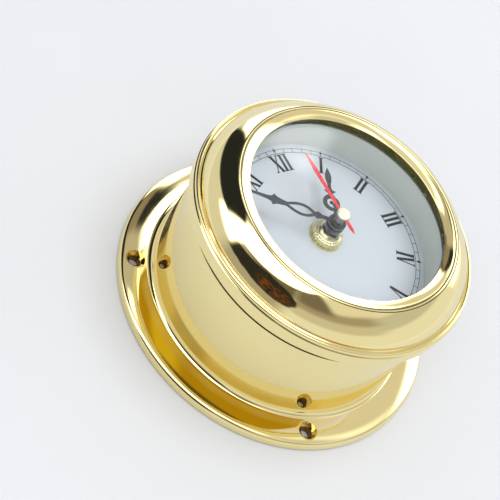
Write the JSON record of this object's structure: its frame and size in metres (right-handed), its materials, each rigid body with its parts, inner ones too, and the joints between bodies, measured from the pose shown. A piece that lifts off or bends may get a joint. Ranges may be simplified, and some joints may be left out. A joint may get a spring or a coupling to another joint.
{
  "type": "ships deck clock",
  "caption": "Polished brass marine clock: drum case on a screw-down flange, rounded bezel with glass, Roman dial, serpentine hands and a quartz movement behind.",
  "frame": {"origin": "centre of the flange's back face", "axes": "+Z along the arbor out of the dial, +Y towards XII, +X towards III"},
  "size_m": [0.12, 0.12, 0.0609],
  "materials": {
    "polished_brass": "mirror polished",
    "movement_brass": "satin",
    "clear_glass": "clear",
    "dial_white": "satin",
    "print_black": "matt",
    "spacer_grey": "matt",
    "hand_black": "semi-gloss",
    "second_red": "gloss",
    "boss_gold": "polished",
    "rubber_black": "matt",
    "case_black": "fine texture",
    "train_plastic": "moulded",
    "plate_grey": "moulded",
    "steel": "bright",
    "magnet_grey": "sintered",
    "coil_copper": "enamelled wire",
    "board_green": "solder mask",
    "battery_wrap": "printed sleeve",
    "knob_white": "moulded"
  },
  "bodies": {
    "case": {"base_flange": "polished_brass", "case_drum": "polished_brass", "dial_seat_ring": "movement_brass", "dial_plate": "dial_white", "dial_numerals": "print_black", "minute_track": "print_black", "dial_screws": "steel", "spacer_ring": "spacer_grey", "bushing": "movement_brass", "bushing_nut": "movement_brass", "nut_washer": "movement_brass", "rubber_washer": "rubber_black", "movement_cover": "case_black", "movement_back": "case_black", "train_plate": "plate_grey", "stator": "steel", "coil_core": "steel", "coil_bobbin": "train_plastic", "coil_winding": "coil_copper", "circuit_board": "board_green", "quartz_crystal": "steel", "contact_positive": "steel", "contact_negative": "steel"},
    "bezel_unit": {"bezel": "polished_brass", "glass": "clear_glass", "glass_gasket": "rubber_black", "glass_retaining_ring": "movement_brass"},
    "hour_unit": {"hour_wheel": "train_plastic", "hour_hand": "hand_black"},
    "minute_unit": {"minute_pipe": "movement_brass", "minute_hand": "hand_black"},
    "centre_unit": {"centre_wheel": "movement_brass"},
    "minute_wheel_unit": {"minute_wheel": "train_plastic"},
    "second_unit": {"second_arbor": "train_plastic", "second_hand": "second_red", "second_boss": "boss_gold"},
    "third_unit": {"third_wheel": "train_plastic"},
    "intermediate_unit": {"intermediate_wheel": "train_plastic"},
    "rotor_unit": {"rotor": "magnet_grey"},
    "knob_unit": {"setting_knob": "knob_white"},
    "battery_unit": {"battery": "battery_wrap"}
  },
  "joints": [
    {"name": "bezel_lift", "type": "slide", "parent": "case", "child": "bezel_unit", "axis": [0, 0, 1], "range_m": [0, 0.03]},
    {"name": "minute_turn", "type": "hinge", "parent": "case", "child": "minute_unit", "pos_m": [0, 0, 0.03], "axis": [0, 0, 1], "continuous": true},
    {"name": "hour_turn", "type": "hinge", "parent": "case", "child": "hour_unit", "pos_m": [0, 0, 0.03], "axis": [0, 0, 1], "continuous": true},
    {"name": "minute_wheel_turn", "type": "hinge", "parent": "case", "child": "minute_wheel_unit", "pos_m": [-0.00784, 0, 0.03], "axis": [0, 0, 1], "continuous": true},
    {"name": "knob_turn", "type": "hinge", "parent": "case", "child": "knob_unit", "pos_m": [-0.01398, 0.00614, 0.03], "axis": [0, 0, 1], "continuous": true},
    {"name": "second_turn", "type": "hinge", "parent": "case", "child": "second_unit", "pos_m": [0, 0, 0.03], "axis": [0, 0, 1], "continuous": true},
    {"name": "third_turn", "type": "hinge", "parent": "case", "child": "third_unit", "pos_m": [0.00612, 0, 0.03], "axis": [0, 0, 1], "continuous": true},
    {"name": "centre_turn", "type": "hinge", "parent": "case", "child": "centre_unit", "pos_m": [0, 0, 0.03], "axis": [0, 0, 1], "continuous": true},
    {"name": "intermediate_turn", "type": "hinge", "parent": "case", "child": "intermediate_unit", "pos_m": [0.00324, 0.00561, 0.03], "axis": [0, 0, 1], "continuous": true},
    {"name": "rotor_turn", "type": "hinge", "parent": "case", "child": "rotor_unit", "pos_m": [0.00621, 0.00858, 0.03], "axis": [0, 0, 1], "continuous": true},
    {"name": "battery_out", "type": "slide", "parent": "case", "child": "battery_unit", "axis": [0, 0, -1], "range_m": [0, 0.018]}
  ],
  "couplings": [
    {"joint": "minute_wheel_turn", "follows": "minute_turn", "ratio": -0.33333},
    {"joint": "hour_turn", "follows": "minute_turn", "ratio": 0.083333},
    {"joint": "knob_turn", "follows": "minute_turn", "ratio": 0.7},
    {"joint": "intermediate_turn", "follows": "second_turn", "ratio": -5},
    {"joint": "rotor_turn", "follows": "second_turn", "ratio": 30},
    {"joint": "third_turn", "follows": "second_turn", "ratio": -0.13333},
    {"joint": "centre_turn", "follows": "second_turn", "ratio": 0.016667}
  ]
}
